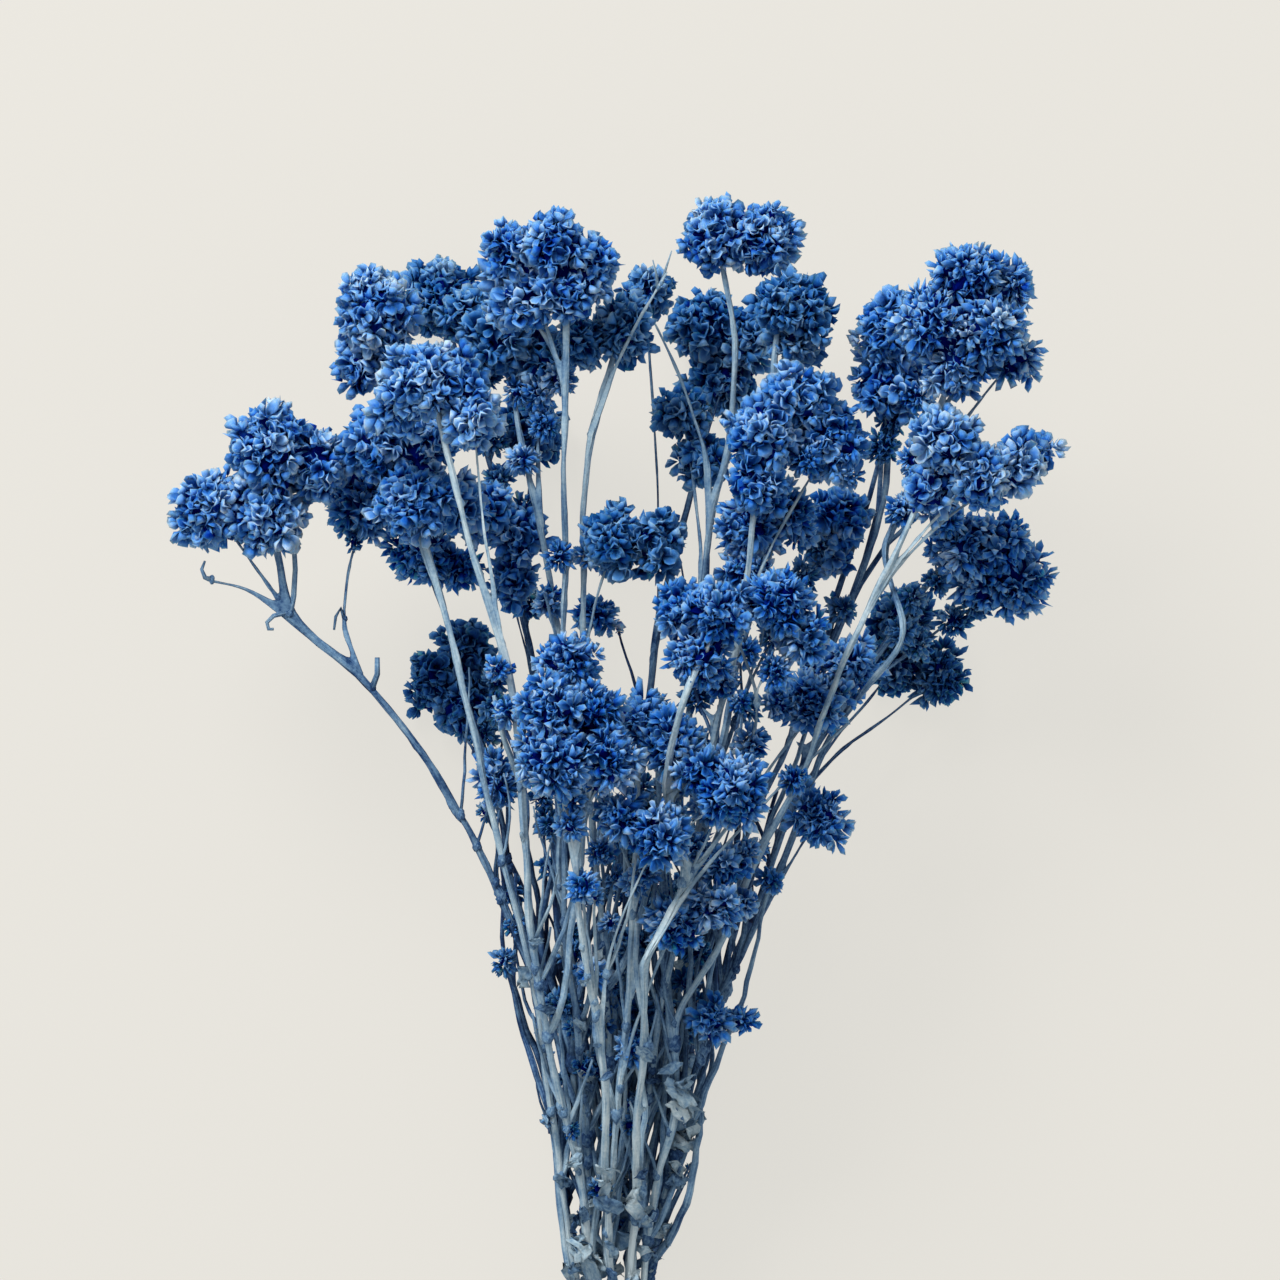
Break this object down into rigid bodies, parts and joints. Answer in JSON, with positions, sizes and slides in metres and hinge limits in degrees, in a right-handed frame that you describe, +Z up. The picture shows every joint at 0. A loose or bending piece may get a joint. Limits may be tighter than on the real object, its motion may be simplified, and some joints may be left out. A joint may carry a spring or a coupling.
{
  "type": "dried flower bunch",
  "caption": "Lying bunch of dyed dried branching stems with knobbly heads of small papery florets, held by a rubber band near the cut ends.",
  "frame": {"origin": "on the surface that the bunch lies on, under the middle of its box", "axes": "+Y along the bunch from the cut ends to the heads, +X to the right as seen from above, +Z up from the surface"},
  "size_m": [0.267, 0.4292, 0.1341],
  "materials": {
    "dyed_stem": "dry dyed bark, matt grey blue",
    "dyed_floret": "dry papery bracts, matt mid blue with paler edges",
    "rubber_band": "plain natural rubber"
  },
  "bodies": {
    "root": {"band": "rubber_band", "head_back_shaded": "dyed_floret", "head_back_small": "dyed_floret", "head_back_top": "dyed_floret", "head_centre_cup": "dyed_floret", "head_centre_sparse": "dyed_floret", "head_crown": "dyed_floret", "head_crown_left": "dyed_floret", "head_crown_right": "dyed_floret", "head_far_left": "dyed_floret", "head_far_right": "dyed_floret", "head_front_left": "dyed_floret", "head_front_low": "dyed_floret", "head_front_lowest": "dyed_floret", "head_front_middle": "dyed_floret", "head_front_right": "dyed_floret", "head_front_side": "dyed_floret", "head_inner_right": "dyed_floret", "head_left_airy": "dyed_floret", "head_left_dark": "dyed_floret", "head_left_hanging": "dyed_floret", "head_left_inner": "dyed_floret", "head_left_large": "dyed_floret", "head_left_small": "dyed_floret", "head_neck_front": "dyed_floret", "head_neck_side": "dyed_floret", "head_neck_small": "dyed_floret", "head_right_edge": "dyed_floret", "head_right_face": "dyed_floret", "head_right_large": "dyed_floret", "head_right_shoulder": "dyed_floret", "head_right_skirt": "dyed_floret", "head_right_sparse": "dyed_floret", "head_right_under": "dyed_floret", "head_right_upper_back": "dyed_floret", "head_side_low": "dyed_floret", "head_side_shoot": "dyed_floret", "head_top_right": "dyed_floret", "head_upper_left": "dyed_floret", "head_upper_left_back": "dyed_floret", "head_upper_right": "dyed_floret", "stem_back_centre": "dyed_stem", "stem_centre": "dyed_stem", "stem_centre_left": "dyed_stem", "stem_centre_top": "dyed_stem", "stem_front_centre": "dyed_stem", "stem_front_inner": "dyed_stem", "stem_front_right": "dyed_stem", "stem_left_back": "dyed_stem", "stem_left_front": "dyed_stem", "stem_left_low": "dyed_stem", "stem_left_middle": "dyed_stem", "stem_left_outer": "dyed_stem", "stem_right_back": "dyed_stem", "stem_right_front": "dyed_stem", "stem_right_inner": "dyed_stem", "stem_right_low": "dyed_stem", "stem_right_outer": "dyed_stem", "stem_right_top": "dyed_stem", "stem_top_right": "dyed_stem"}
  },
  "joints": []
}
